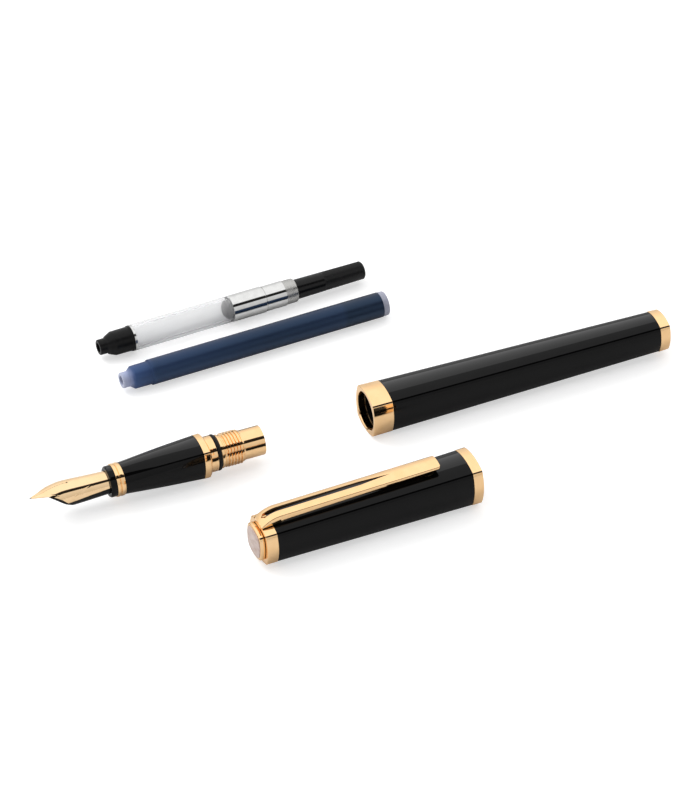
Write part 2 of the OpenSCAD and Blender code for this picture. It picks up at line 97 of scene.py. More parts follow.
class Group:
    """A frame on one group's axis, which runs through the middle of centre_node.
    x is 0 at zero_node's low end (side 0) or at its high end (side 1)."""

    def __init__(self, axis, centre_node, zero_node, side):
        self.x = Vector(axis).normalized()
        self.axes = np.array([self.x, Vector((0, 0, 1)).cross(self.x), (0, 0, 1)])
        low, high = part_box(centre_node)
        self.origin = (low + high) / 2
        self.origin += self.x * self.span(zero_node)[side] * MM

    def points(self, node):
        """The node's vertices in this frame."""
        away = np.array([v.co - self.origin for v in frame["nodes"][node].data.vertices])
        return away @ self.axes.T / MM

    def span(self, node):
        """Lowest and highest x of the node."""
        x = self.points(node)[:, 0]
        return float(x.min()), float(x.max())

    def face(self, node, end, near=0.3):
        """Height of the node's top face over the axis, at its low (0) or high (1) end."""
        points = self.points(node)
        x = points[:, 0]
        at = x.min() if end == 0 else x.max()
        return float(points[np.abs(x - at) < near][:, 2].max())

    def radius(self, node):
        """Greatest distance of the node from the axis."""
        points = self.points(node)
        return float(np.hypot(points[:, 1], points[:, 2]).max())

    def to_row(self, points):
        """Points of this frame, as metres in the row frame."""
        return np.asarray(points, float) @ self.axes * MM + np.array(self.origin)


barrel = Group(joints["barrel_slide"]["axis"], "barrel_mouth_ring", "barrel_mouth_ring", 0)
section = Group(joints["barrel_slide"]["axis"], "section_trim_ring", "section_tenon", 1)
cap = Group(joints["cap_slide"]["axis"], "cap_lip_ring", "cap_lip_ring", 1)
converter = Group(joints["knob_turn"]["axis"], "converter_band", "converter_mouth", 0)
cartridge = Group([-a for a in joints["cartridge_slide"]["axis"]], "cartridge_seal", "cartridge_body", 0)


# ---- Outlines ----


def circle(radius, count=ROUND_STEPS):
    """Points (y, z) on a circle; radius is a number, or one number a point."""
    a = np.arange(count) * 2 * math.pi / count
    return np.stack([radius * np.cos(a), radius * np.sin(a)], 1)


def convex_square(face, corner=CORNER_R):
    """Square with arc faces. face is the distance from the axis to a face's middle.
    Each corner is a narrow flat between two small arcs."""
    corner = min(corner, 0.35 * face)
    c = face / FACE_RISE
    sag = face - c
    arc_r = (c * c + sag * sag) / (2 * sag)
    mid = face - arc_r
    g = CORNER_FLAT / (2 * math.sqrt(2))
    reach = (g - mid) ** 2 + g * g - (arc_r - corner) ** 2
    t = (mid + math.sqrt(mid * mid - 2 * reach)) / 2
    half = math.atan2(t - g, t + g - mid)
    sweep = np.linspace(-half, half, FACE_STEPS + 1)
    side = np.stack([mid + arc_r * np.cos(sweep), arc_r * np.sin(sweep)], 1)
    turn = np.linspace(half, math.pi / 4, CORNER_STEPS + 1)[1:]
    bend = np.stack([t + g + corner * np.cos(turn), t - g + corner * np.sin(turn)], 1)
    quarter = np.concatenate([side, bend, bend[::-1, ::-1]])
    turns = [np.array([[0, 1], [-1, 0]]), np.array([[-1, 0], [0, -1]]), np.array([[0, -1], [1, 0]])]
    return np.concatenate([quarter] + [quarter @ t for t in turns])


# The directions of a convex square's points from its axis, for round rings in a squared piece
SQUARE_DIRECTIONS = convex_square(5.5)
SQUARE_DIRECTIONS /= np.linalg.norm(SQUARE_DIRECTIONS, axis=1)[:, None]


def ring_at(x, outline):
    """An outline's (y, z) points, set at x."""
    return np.column_stack([np.full(len(outline), x), outline])


def rounded(profile, loop=False, steps=4):
    """A profile of points (x, r[, fillet[, kind]]) as a list of (x, r, kind), with an arc at each
    filleted corner. A fillet takes less than half of the edges beside it."""
    most = 0.48
    points = [(*p, 0, ROUND)[:4] if len(p) == 2 else (*p, ROUND)[:4] for p in profile]
    out = []
    for i, (x, r, fillet, kind) in enumerate(points):
        inside = loop or 0 < i < len(points) - 1
        if not fillet or not inside:
            out.append((x, r, kind))
            continue
        corner = np.array([x, r])
        before = np.array(points[i - 1][:2]) - corner
        after = np.array(points[(i + 1) % len(points)][:2]) - corner
        len_before, len_after = np.linalg.norm(before), np.linalg.norm(after)
        before, after = before / len_before, after / len_after
        half = math.acos(max(-1, min(1, float(before @ after)))) / 2
        back = min(fillet / math.tan(half), most * len_before, most * len_after)
        radius = back * math.tan(half)
        centre = corner + (before + after) / np.linalg.norm(before + after) * radius / math.sin(half)
        a, b = corner + before * back - centre, corner + after * back - centre
        whole = math.pi - 2 * half
        for k in range(steps + 1):
            t = k / steps
            p = centre + (math.sin((1 - t) * whole) * a + math.sin(t * whole) * b) / math.sin(whole)
            out.append((float(p[0]), float(p[1]), kind))
    return out


# ---- Meshes ----


def skin(rings, loop=False, ends=(None, None)):
    """Vertices and faces through rings with equally many points. Open ends are closed by fans."""
    rings = np.array(rings, float)
    count, around = rings.shape[:2]
    index = np.arange(count * around).reshape(count, around)
    faces = []
    for i in range(count if loop else count - 1):
        a, b = index[i], index[(i + 1) % count]
        faces += zip(a.tolist(), np.roll(a, -1).tolist(), np.roll(b, -1).tolist(), b.tolist())
    vertices = rings.reshape(-1, 3).tolist()
    if not loop:
        for ring, row, centre in ((rings[0], index[0], ends[0]), (rings[-1], index[-1], ends[1])):
            vertices.append(list(ring.mean(0)) if centre is None else list(centre))
            tip = len(vertices) - 1
            faces += [(tip, int(a), int(b)) for a, b in zip(row, np.roll(row, -1))]
    return vertices, faces


def make_object(name, group, shape, weld=False):
    """An object of one group's (vertices, faces), with nothing else set."""
    vertices, faces = shape
    mesh = bpy.data.meshes.new(name)
    mesh.from_pydata(group.to_row(vertices).tolist(), [], faces)
    work = bmesh.new()
    work.from_mesh(mesh)
    if weld:
        bmesh.ops.remove_doubles(work, verts=work.verts, dist=WELD)
        bmesh.ops.dissolve_degenerate(work, edges=work.edges, dist=WELD)
    bmesh.ops.recalc_face_normals(work, faces=work.faces)
    work.to_mesh(mesh)
    work.free()
    made = bpy.data.objects.new(name, mesh)
    scene.collection.objects.link(made)
    return made


def raw_object(name, group, shape):
    """A welded object, ready to be cut or joined."""
    return make_object(name, group, shape, weld=True)


def add_piece(name, group, shape, node, sharp=32):
    """A finished piece made of one group's (vertices, faces), standing for a CAD node."""
    return finish_piece(make_object(name, group, shape), node, sharp)


def finish_piece(piece, node, sharp=32):
    """Shading, material, body and slot of a new piece, from the CAD node that it stands for."""
    mesh = piece.data
    mesh.shade_smooth()
    mesh.set_sharp_from_angle(angle=math.radians(sharp))
    weighted = piece.modifiers.new("weighted_normals", "WEIGHTED_NORMAL")
    weighted.keep_sharp = True
    mesh.materials.clear()
    mesh.materials.append(MATERIALS[slot_of[node]])
    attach(piece, body_of[node])
    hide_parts(node)
    return piece


def turned_rings(profile, around):
    """Rings of a round profile, each with that many points."""
    return [ring_at(x, circle(r, around)) for x, r, _ in rounded(profile)]


def lofted(profile, loop=False, steps=4, corner=CORNER_R):
    """Skin of a profile whose points are circles (ROUND) or convex squares (SQUARE).
    A profile that isn't a loop is closed at both ends, by a tip where its radius is 0."""
    dense = rounded(profile, loop, steps)
    ends = [None, None]
    if not loop:
        if dense[0][1] == 0:
            ends[0] = (dense.pop(0)[0], 0, 0)
        if dense[-1][1] == 0:
            ends[1] = (dense.pop()[0], 0, 0)
    any_square = any(kind == SQUARE for _, _, kind in dense)
    rings = []
    for x, r, kind in dense:
        if kind == SQUARE:
            outline = convex_square(r, corner)
        else:
            outline = SQUARE_DIRECTIONS * r if any_square else circle(r)
        rings.append(ring_at(x, outline))
    return skin(rings, loop, ends)


def cut(piece, *tools):
    """Cuts closed meshes out of a piece, and removes them."""
    for tool in tools:
        modifier = piece.modifiers.new("cut", "BOOLEAN")
        modifier.operation = "DIFFERENCE"
        modifier.solver = "EXACT"
        modifier.object = tool
    apply_modifiers(piece)
    for tool in tools:
        bpy.data.objects.remove(tool)


def apply_modifiers(piece):
    """Turns a piece's modifiers into its mesh."""
    depsgraph = bpy.context.evaluated_depsgraph_get()
    mesh = bpy.data.meshes.new_from_object(piece.evaluated_get(depsgraph))
    piece.modifiers.clear()
    piece.data = mesh


def join(piece, other):
    """Adds another object's mesh to a piece."""
    work = bmesh.new()
    work.from_mesh(piece.data)
    work.from_mesh(other.data)
    work.to_mesh(piece.data)
    work.free()
    bpy.data.objects.remove(other)


def box_shape(low, high):
    """Vertices and faces of a box between two corners."""
    (x0, y0, z0), (x1, y1, z1) = low, high
    vertices = [(x, y, z) for x in (x0, x1) for y in (y0, y1) for z in (z0, z1)]
    faces = [(0, 1, 3, 2), (4, 6, 7, 5), (0, 4, 5, 1), (2, 3, 7, 6), (0, 2, 6, 4), (1, 5, 7, 3)]
    return vertices, faces


def prism_shape(outline, low, high):
    """Upright prism between two heights. outline is one side, from end to end; the other mirrors it."""
    points = outline + [(x, -y) for x, y in reversed(outline[1:-1])]
    vertices = [(x, y, z) for z in (low, high) for x, y in points]
    n = len(points)
    sides = [(i, (i + 1) % n, n + (i + 1) % n, n + i) for i in range(n)]
    return vertices, sides + [tuple(range(n)), tuple(range(n, 2 * n))]


def blob(centre, radii, rows=20, around=32):
    """Ellipsoid of rings about x."""
    (cx, cy, cz), (rx, ry, rz) = centre, radii
    rings = []
    for i in range(1, rows):
        a = math.pi * i / rows
        ring = circle(math.sin(a), around) * [ry, rz] + [cy, cz]
        rings.append(ring_at(cx - rx * math.cos(a), ring))
    return skin(rings, ends=((cx - rx, cy, cz), (cx + rx, cy, cz)))


# ---- Materials ----


class Look:
    """A Principled material with a few helpers for its node tree. Lengths are in millimetres."""

    NOISE_RANGE = (0.3, 0.7)  # most of a noise texture's values
    TINT_RANGE = (0.35, 0.65)

    def __init__(self, name, colour, roughness, metallic=0.0, **sockets):
        self.material = bpy.data.materials.new(name)
        self.material.use_nodes = True
        self.tree = self.material.node_tree
        self.shader = self.tree.nodes["Principled BSDF"]
        self.place = self.add("ShaderNodeTexCoord").outputs["Object"]
        self.set("Base Color", (*colour, 1.0))
        self.set("Roughness", roughness)
        self.set("Metallic", metallic)
        for socket, value in sockets.items():
            self.set(socket.replace("_", " "), value)

    def add(self, kind, **settings):
        node = self.tree.nodes.new(kind)
        for key, value in settings.items():
            setattr(node, key, value)
        return node

    def set(self, socket, value):
        self.shader.inputs[socket].default_value = value

    def link(self, output, target):
        self.tree.links.new(output, target)

    def noise(self, size, detail=3.0, stretch=(1, 1, 1)):
        """Noise with features about size mm across, times stretch along each axis."""
        mapping = self.add("ShaderNodeMapping")
        mapping.inputs["Scale"].default_value = [1 / (size * s * MM) for s in stretch]
        self.link(self.place, mapping.inputs["Vector"])
        texture = self.add("ShaderNodeTexNoise")
        texture.inputs["Scale"].default_value = 1.0
        texture.inputs["Detail"].default_value = detail
        self.link(mapping.outputs["Vector"], texture.inputs["Vector"])
        return texture.outputs["Fac"]

    def span(self, value, low, high, start=0.0, end=1.0):
        """Value, mapped from start..end to low..high."""
        node = self.add("ShaderNodeMapRange")
        node.inputs["From Min"].default_value = start
        node.inputs["From Max"].default_value = end
        node.inputs["To Min"].default_value = low
        node.inputs["To Max"].default_value = high
        self.link(value, node.inputs["Value"])
        return node.outputs["Result"]

    def roughen(self, low, high, size, stretch=(1, 1, 1)):
        """Roughness that drifts from low to high."""
        value = self.span(self.noise(size, 4, stretch), low, high, *self.NOISE_RANGE)
        self.link(value, self.shader.inputs["Roughness"])

    def tint(self, first, second, size, stretch=(1, 1, 1)):
        """Colour that drifts between two."""
        self.ramp(self.noise(size, 2, stretch), zip(self.TINT_RANGE, (first, second)))

    def ramp(self, value, stops):
        """Colour from a ramp of (position, colour) stops, in order."""
        node = self.add("ShaderNodeValToRGB")
        fill_ramp(node.color_ramp, stops)
        self.link(value, node.inputs["Fac"])
        self.link(node.outputs["Color"], self.shader.inputs["Base Color"])

    def bump(self, height, depth):
        """Bump of a 0 to 1 height, depth mm deep."""
        node = self.add("ShaderNodeBump")
        node.inputs["Distance"].default_value = depth * MM
        self.link(height, node.inputs["Height"])
        self.link(node.outputs["Normal"], self.shader.inputs["Normal"])


def fill_ramp(ramp, stops):
    """Sets a new ramp's two elements to the first and last stop, and adds the others."""
    first, *others, last = stops
    ends = [*zip(ramp.elements, (first, last))]
    for element, (at, colour) in ends:
        element.position = at
        element.color = (*colour, 1.0)
    for at, colour in others:
        element = ramp.elements.new(at)
        element.color = (*colour, 1.0)


def gold(name, pale, deep):
    """Gilt, polished along x."""
    look = Look(name, pale, 0.06, metallic=1.0)
    look.tint(pale, deep, 2.5)
    look.roughen(0.035, 0.085, 0.12, (12, 1, 1))
    look.bump(look.noise(0.05, 3, (20, 1, 1)), 0.0006)
    return look.material


def lacquer(name, base, level, rough, peel):
    """Polished black with a faint orange peel, peel mm across."""
    look = Look(name, base, rough, Specular_IOR_Level=level)
    look.tint(base, tuple(1.5 * c for c in base), 3.0)
    look.roughen(rough, rough + 0.03, 0.4)
    look.bump(look.noise(peel, 2), 0.0012)
    return look.material


def black_plastic(name, base, level, low, high, grain):
    """Moulded black plastic, between low and high in roughness."""
    look = Look(name, base, high, Specular_IOR_Level=level)
    look.tint(base, tuple(1.6 * c for c in base), 0.6)
    look.roughen(low, high, 0.3)
    look.bump(look.noise(grain, 2), 0.0015)
    return look.material


def chrome(name, tone, low, high, grain, depth):
    """Bright or brushed metal with fine lines around its axis."""
    look = Look(name, tone, high, metallic=1.0)
    look.tint(tone, tuple(0.93 * c for c in tone), 1.5)
    look.roughen(low, high, grain, (1, 6, 6))
    look.bump(look.noise(grain, 3, (1, 8, 8)), depth)
    return look.material


def clear_plastic(name):
    """Clear tube. Its low index keeps the edges as faint as those of a thin wall."""
    look = Look(name, (0.95, 0.95, 0.95), 0.1, IOR=1.08, Transmission_Weight=0.82)
    look.tint((0.97, 0.97, 0.975), (0.95, 0.955, 0.96), 3.0, (4, 1, 1))
    look.roughen(0.05, 0.09, 2.0, (6, 1, 1))
    return look.material


def cartridge_plastic(name):
    """Blue plastic with ink behind it: pale at the mouth, where no ink is, deep along the inked body, and
    dark over the plug, where the dark is painted shade for light that doesn't pass through the end.
    """
    gloss = (0.35, 0.6, 1.0, 1)
    look = Look(name, (0.01, 0.02, 0.06), 0.3, Specular_IOR_Level=0.75, Specular_Tint=gloss)
    wander = 3.0  # how far the noise shifts the stops along the body
    low, high = (x + wander / 2 for x in cartridge.span("cartridge_body"))
    start = cartridge.origin.x
    along = look.add("ShaderNodeSeparateXYZ")
    look.link(look.place, along.inputs["Vector"])
    drift = look.add("ShaderNodeMath", operation="MULTIPLY_ADD")
    look.link(look.noise(5.0, 2, (0.6, 2, 2)), drift.inputs[0])
    drift.inputs[1].default_value = wander * MM
    look.link(along.outputs["X"], drift.inputs[2])
    share = look.span(drift.outputs["Value"], 0.0, 1.0, start + low * MM, start + high * MM)
    # Colour stops along the body; the last two, over the plug, are painted shade.
    look.ramp(share, [
        (0.0, (0.42, 0.44, 0.56)), (0.026, (0.31, 0.34, 0.50)),  # mouth
        (0.04, (0.03, 0.055, 0.15)), (0.10, (0.016, 0.03, 0.088)),  # neck
        (0.13, (0.009, 0.017, 0.052)), (0.55, (0.003, 0.006, 0.02)), (0.84, (0.005, 0.009, 0.028)),  # body
        (0.86, (0.002, 0.0034, 0.011)), (1.0, (0.0025, 0.0035, 0.012))])  # over the plug
    look.roughen(0.36, 0.44, 2.5, (3, 1, 1))
    return look.material


def soft_plastic(name, first, second, rough, level=0.5):
    """Slightly uneven plastic or rubber."""
    look = Look(name, first, rough, Specular_IOR_Level=level)
    look.tint(first, second, 1.2)
    look.roughen(rough * 0.8, rough * 1.2, 0.5)
    look.bump(look.noise(0.3, 3), 0.003)
    return look.material


def pearl(name):
    """Cloudy pale pink."""
    look = Look(name, (0.6, 0.5, 0.47), 0.25, Specular_IOR_Level=0.4)
    look.ramp(look.noise(1.6, 4, (1, 1, 0.5)), [
        (0.3, (0.46, 0.33, 0.28)), (0.5, (0.54, 0.42, 0.37)), (0.7, (0.60, 0.49, 0.44))])
    look.bump(look.noise(0.8, 3), 0.004)
    return look.material


# For each material slot of the record, the function that makes it and what that takes after the name
LOOKS = {
    "gold_trim": (gold, (0.95, 0.637, 0.338), (0.93, 0.605, 0.31)),
    "nib_gold": (gold, (0.93, 0.665, 0.395), (0.90, 0.635, 0.365)),
    "black_lacquer": (lacquer, (0.0012, 0.0012, 0.0013), 0.15, 0.02, 1.5),
    "black_gloss": (lacquer, (0.0015, 0.0015, 0.0016), 0.15, 0.03, 0.9),
    "black_plastic": (black_plastic, (0.004, 0.004, 0.0042), 0.15, 0.28, 0.36, 0.2),
    "knob_black": (black_plastic, (0.0015, 0.0015, 0.0016), 0.25, 0.2, 0.28, 0.3),
    "seal_rubber": (soft_plastic, (0.003, 0.003, 0.003), (0.005, 0.005, 0.005), 0.4, 0.2),
    "tipping_metal": (chrome, (0.42, 0.41, 0.40), 0.2, 0.3, 0.08, 0.002),
    "steel": (chrome, (0.55, 0.55, 0.56), 0.18, 0.28, 0.15, 0.002),
    "bright_chrome": (chrome, (0.68, 0.68, 0.67), 0.04, 0.08, 0.2, 0.0005),
    "satin_chrome": (chrome, (0.47, 0.465, 0.45), 0.22, 0.34, 0.1, 0.002),
    "clear_tube": (clear_plastic,),
    "cartridge_blue": (cartridge_plastic,),
    "ink_blue": (soft_plastic, (0.004, 0.008, 0.04), (0.006, 0.012, 0.06), 0.15),
    "cartridge_pale": (soft_plastic, (0.30, 0.31, 0.39), (0.34, 0.35, 0.43), 0.3),
    "pearl_inlay": (pearl,),
}
MATERIALS = {name: make(name, *values) for name, (make, *values) in LOOKS.items()}


# ---- Barrel ----


def make_barrel():
    """Mouth ring, lacquered shell and tail cap."""
    ring_end = barrel.span("barrel_mouth_ring")[1]
    shell_end = barrel.span("barrel_shell")[1]
    tail = barrel.span("barrel_end_cap")[1]
    bush_to = barrel.span("barrel_thread_bush")[1]
    bore = barrel.radius("barrel_thread_bush")
    back_bore, back_floor, stud_hole = 3.95, 76.0, 1.5
    seat_rise, seat_depth = 0.22, 0.2
    end_flat = 0.3  # a flat ring inside an end face's rounded rim
    mouth_face = barrel.face("barrel_mouth_ring", 0)
    ring_face = barrel.face("barrel_mouth_ring", 1)
    add_piece("mouth_ring", barrel, lofted([
        (0, mouth_face, 0.12, SQUARE), (0, mouth_face - end_flat, 0, SQUARE),
        (0, bore + seat_rise, 0.05), (seat_depth, bore, 0.05),
        (ring_end - SEAM, bore), (ring_end - SEAM, ring_face, 0.08, SQUARE)], loop=True), "barrel_mouth_ring")
    add_piece("barrel_body", barrel, lofted([
        (ring_end, bore), (ring_end, barrel.face("barrel_shell", 0), 0.06, SQUARE),
        (shell_end, barrel.face("barrel_shell", 1), 0.06, SQUARE), (shell_end, stud_hole),
        (back_floor, stud_hole), (back_floor, back_bore), (bush_to, back_bore), (bush_to, bore)],
        loop=True), "barrel_shell")
    end_face = barrel.face("barrel_end_cap", 1)
    taper, tail_round = 0.1, 0.3
    add_piece("tail_cap", barrel, lofted([
        (shell_end + SEAM, 0), (shell_end + SEAM, end_face + taper, 0.08, SQUARE),
        (tail, end_face, tail_round, SQUARE), (tail, end_face - tail_round - 0.4, 0, SQUARE),
        (tail, 0)]), "barrel_end_cap")


# ---- Section ----

STUB_R = 3.4  # the tenon's front stub, which grip, flange and rings sit on


def thread_rings(start, end, root, crest, pitch):
    """Rings of a helical ridge between start and end, which grows from the root and dies away.
    The ridge is a cosine whose crests and roots are cut flat."""
    middle, swing, spacing, run_out = 0.5, 0.85, 0.05, 0.7
    angle = np.arange(TENON_STEPS) / TENON_STEPS
    rings = []
    for x in np.arange(start, end, spacing):
        wave = middle + swing * np.cos(2 * math.pi * ((x - start) / pitch - angle))
        height = np.clip(wave, 0, 1) * min(1, (x - start) / run_out, (end - x) / run_out)
        rings.append(ring_at(x, circle(root + (crest - root) * height, TENON_STEPS)))
    return rings


def make_tenon():
    """Turned tenon with sleeve, helical thread, seal groove and notched collar."""
    flange_back = section.span("section_flange")[1]
    front = section.span("section_tenon")[0]
    collar_r = section.radius("section_tenon")
    crest_r = collar_r - 0.25
    groove_low, groove_high = (x + side * 0.08 for x, side in zip(section.span("o_ring"), (-1, 1)))
    bore_r, floor, feed_bore = 3.45, -12.6, 2.6
    land_r, sleeve_r, root_r, groove_r, pitch = 4.2, 3.7, 3.85, 3.54, 0.8
    thread_from, thread_to = -10.7, -5.4
    notch_end = flange_back + 0.8
    notched = notched_radii(collar_r)
    rings = turned_rings(
        [(front, feed_bore), (front, STUB_R, 0.1), (flange_back - 0.5, STUB_R)], TENON_STEPS)
    for x, radius in ((flange_back - 0.4, notched), (notch_end - 0.03, notched), (notch_end, collar_r)):
        rings.append(ring_at(x, circle(radius, TENON_STEPS)))
    rings += turned_rings([
        (notch_end + 0.05, collar_r), (groove_low, collar_r, 0.1), (groove_low, groove_r, 0.05),
        (groove_high, groove_r, 0.05), (groove_high, land_r, 0.08), (thread_from - 0.15, land_r, 0.1),
        (thread_from - 0.05, root_r)], TENON_STEPS)
    rings += thread_rings(thread_from, thread_to, root_r, crest_r, pitch)
    rings += turned_rings([
        (thread_to + 0.05, root_r), (thread_to + 0.1, sleeve_r, 0.03), (0, sleeve_r, 0.15),
        (0, bore_r, 0.06), (floor, bore_r), (floor, feed_bore)], TENON_STEPS)
    add_piece("tenon", section, skin(rings, loop=True), "section_tenon", sharp=40)


def notched_radii(collar_r):
    """Radii around the collar, with four notches in line with the flange's corners."""
    half_angle, depth = 0.14, 0.45
    angle = np.arange(TENON_STEPS) * 2 * math.pi / TENON_STEPS
    radii = np.full(TENON_STEPS, collar_r)
    for centre in np.arange(4) * math.pi / 2 + math.pi / 4:
        off = np.abs((angle - centre + math.pi) % (2 * math.pi) - math.pi)
        radii[off < half_angle] = collar_r - depth
    return radii


def make_section():
    """Every piece of the section, from the tenon at the back to the nib at the front."""
    make_tenon()
    flange_front, flange_back = section.span("section_flange")
    flange_face = section.face("section_flange", 0)
    chamfer, chamfer_drop = 0.45, 0.5
    add_piece("flange", section, lofted([
        (flange_front + SEAM, STUB_R), (flange_front + SEAM, flange_face, 0.12, SQUARE),
        (flange_back - chamfer, flange_face, 0.1, SQUARE),
        (flange_back, flange_face - chamfer_drop, 0.1, SQUARE), (flange_back, STUB_R)],
        loop=True), "section_flange")
    make_seal_ring()
    make_grip(flange_front, flange_face)
    make_front_rings()


def make_seal_ring():
    """Rubber ring of round section in the tenon's groove."""
    low, high = section.span("o_ring")
    seal_r = (high - low) / 2
    seal_mid = section.radius("o_ring") - seal_r
    steps = 24
    turns = np.arange(steps) * 2 * math.pi / steps
    tube = [((low + high) / 2 + seal_r * math.cos(a), seal_mid + seal_r * math.sin(a)) for a in turns]
    add_piece("seal_ring", section, lofted(tube, loop=True), "o_ring")


def make_front_rings():
    """Gilt ring with two beads and the black lip, with the nib in it."""
    ring_front, grip_front = section.span("section_trim_ring")
    r = section.radius("section_trim_ring")
    add_piece("trim_ring", section, lofted([
        (ring_front, STUB_R), (ring_front, r - 0.12, 0.05), (ring_front + 0.25, r, 0.25),
        (ring_front + 0.75, r - 0.02, 0.25), (ring_front + 0.93, r - 0.27, 0.03),
        (ring_front + 1.08, r - 0.03, 0.2), (grip_front - 0.5, r, 0.3),
        (grip_front - SEAM, r - 0.12, 0.06), (grip_front - SEAM, STUB_R)],
        loop=True, steps=6), "section_trim_ring")
    lip_front = section.span("nib_collar")[0]
    tenon_front = section.span("section_tenon")[0]
    lip_r, nib_bore = section.radius("nib_collar"), 2.87
    add_piece("nib_collar_ring", section, lofted([
        (lip_front, nib_bore, 0.08), (lip_front, lip_r - 0.28, 0.2), (lip_front + 0.32, lip_r, 0.3),
        (ring_front, lip_r - 0.02), (ring_front, STUB_R), (tenon_front - 0.3, STUB_R),
        (tenon_front - 0.3, nib_bore)], loop=True, steps=6), "nib_collar")
    make_nib(lip_front)


def make_grip(flange_front, flange_face):
    """Grip: round at the front, growing into the flange's convex square, with a slight swell."""
    front = section.span("section_grip")[0]
    front_r = section.radius("section_trim_ring") - 0.2
    length, steps = flange_front - front, 40
    most_swell, below_flange, squaring = 0.25, 0.03, 1.3
    rings = []
    for i in range(steps + 1):
        t = i / steps
        swell = most_swell * math.sin(math.pi * t)
        blend = t ** squaring
        square = convex_square(flange_face - below_flange + FACE_RISE * swell / 2)
        reach = np.linalg.norm(square, axis=1)[:, None]
        rings.append(ring_at(front + length * t, square * (blend + (1 - blend) * (front_r + swell) / reach)))
    shrink, ease = [1, 0.985, 0.985], [0.06, 0, 0]
    eased = [rings[0] * shrink, rings[0] + ease, *rings[1:-1], rings[-1] - ease, rings[-1] * shrink]
    hole = [ring_at(x, SQUARE_DIRECTIONS * STUB_R) for x in (flange_front, front)]
    add_piece("grip", section, skin(eased + hole, loop=True), "section_grip")


class NibShape:
    """Outer face of the nib: a half pipe whose crest, radius and edges change with the distance t
    behind its tip. edge is the angle at the axis from the crest to each edge."""

    def __init__(self, tip, lip):
        self.tip, self.length = tip, lip - tip
        self.wing = 8.3  # where the edges reach furthest down
        in_collar = 5.5
        knots = [0, 1.8, 3.7, 5.4, 7.1, self.wing, 11, 14, self.length, self.length + 6]
        crest = [1.62, 1.88, 2.45, 3.0, 3.32, 3.38, 3.28, 3.08, 2.83, 2.8]
        radius = [3.2, 3.25, 3.3, 3.3, 3.3, 3.3, 3.22, 3.08, 2.84, 2.8]
        edge = np.radians([3.6, 15.2, 31, 50, 75, 98, 94, 88, 82, 80])
        self.t = np.concatenate([
            np.linspace(0, self.wing, 110)[:-1], np.linspace(self.wing, self.length + in_collar, 140)])
        self.crest = smoothed(np.interp(self.t, knots, crest), 9)
        self.radius = smoothed(np.interp(self.t, knots, radius), 9)
        self.edge = np.interp(self.t, knots, edge)
        self.half_width = self.radius * np.sin(np.minimum(self.edge, math.pi / 2))

    def row(self, i, angles, inset):
        """Points at step i, inset mm inside the outer face."""
        r = self.radius[i] - inset
        centre = self.crest[i] - self.radius[i]
        x = np.full(len(angles), self.tip + self.t[i])
        return np.column_stack([x, r * np.sin(angles), centre + r * np.cos(angles)])


def smoothed(values, spread):
    """Running mean, with the ends kept."""
    padded = np.pad(values, spread, mode="reflect", reflect_type="odd")
    kernel = np.ones(2 * spread + 1) / (2 * spread + 1)
    return np.convolve(padded, kernel, mode="valid")


def make_nib(lip_front):
    """Nib with slit, breather hole and hard tip, and the feed below it."""
    tip = section.span("nib")[0]
    shape = NibShape(tip, lip_front)
    across = 80
    sheet, tip_thinner, thin_reach = 0.34, 0.12, 2
    half_slit, breather_at, breather_r = 0.035, 9.2, 0.2
    rings = []
    for i, t in enumerate(shape.t):
        angles = np.linspace(-shape.edge[i], shape.edge[i], across)
        thick = sheet - tip_thinner * math.exp(-t / thin_reach)
        outer = shape.row(i, angles, engraving(t, angles / shape.edge[i], shape.length))
        rings.append(np.concatenate([outer, shape.row(i, angles, thick)[::-1]]))
    nib = raw_object("nib_half_pipe", section, skin(rings))
    slit = box_shape((tip - 1, -half_slit, 0), (tip + breather_at, half_slit, 4))
    vertices, faces = lofted([(0, 0), (0, breather_r), (4, breather_r), (4, 0)])
    hole = [(tip + breather_at - z, y, x) for x, y, z in vertices]
    cut(nib, raw_object("slit", section, slit), raw_object("breather", section, (hole, faces)))
    finish_piece(nib, "nib", sharp=40)
    ball = raw_object("tipping", section, blob((tip - 0.02, 0, shape.crest[0] - 0.14), (0.3, 0.26, 0.2)))
    finish_piece(ball, "nib_tipping")
    make_feed(shape)


def engraving(t, side, length):
    """Depth of the engraved border, mm, at t behind the tip; side is -1 and 1 at the nib's edges."""
    line, line_width, start = 0.022, 0.09, 3.2
    border_width, bow_height, bow_reach = 0.07 / 3.0, 0.9, 0.78
    depth = np.zeros(len(side))
    if start < t < length - 5:
        border = 0.62 + 0.18 * math.sin(math.pi * (t - start) / 9)
        depth += line * np.exp(-((np.abs(side) - border) / border_width) ** 2)
    for at in (length - 8.2, length - 7.6, length - 5):
        bow = at + bow_height * (1 - side * side)
        depth += line * np.exp(-((t - bow) / line_width) ** 2) * (np.abs(side) < bow_reach)
    return depth


def make_feed(shape):
    """Feed: fills the nib's half pipe and shows below its edges. Its underside, low_z at low_t
    behind the tip, slants up to a point under the nib."""
    front, end = 3.9, section.span("feed")[1] - shape.tip
    low_t = [front, 4.6, 6, 7.2, 8.3, 9.6, 11, 12]
    low_z = [1.8, 1.4, 0.6, -0.2, -0.95, -1.9, -2.9, -3.4]
    under_nib, in_line, within_edge, back_r = 0.37, 0.04, 0.1, 2.45
    angles = np.linspace(-math.pi, math.pi, 97)[:-1]
    rings = []
    for i, t in enumerate(shape.t):
        if front <= t <= shape.length + 0.2:
            inset = np.where(np.abs(angles) < shape.edge[i], under_nib, in_line)
            ring = shape.row(i, angles, inset)
            if t < shape.wing:
                reach = shape.half_width[i] - within_edge
                ring[:, 1] = np.clip(ring[:, 1], -reach, reach)
            ring[:, 2] = np.maximum(ring[:, 2], np.interp(t, low_t, low_z))
            rings.append(ring)
    for t in (shape.length + 0.3, end):
        rings.append(ring_at(shape.tip + t, back_r * np.stack([np.sin(angles), np.cos(angles)], 1)))
    feed = raw_object("ink_feed", section, skin(rings))
    finish_piece(feed, "feed", sharp=50)


# ---- Cap ----


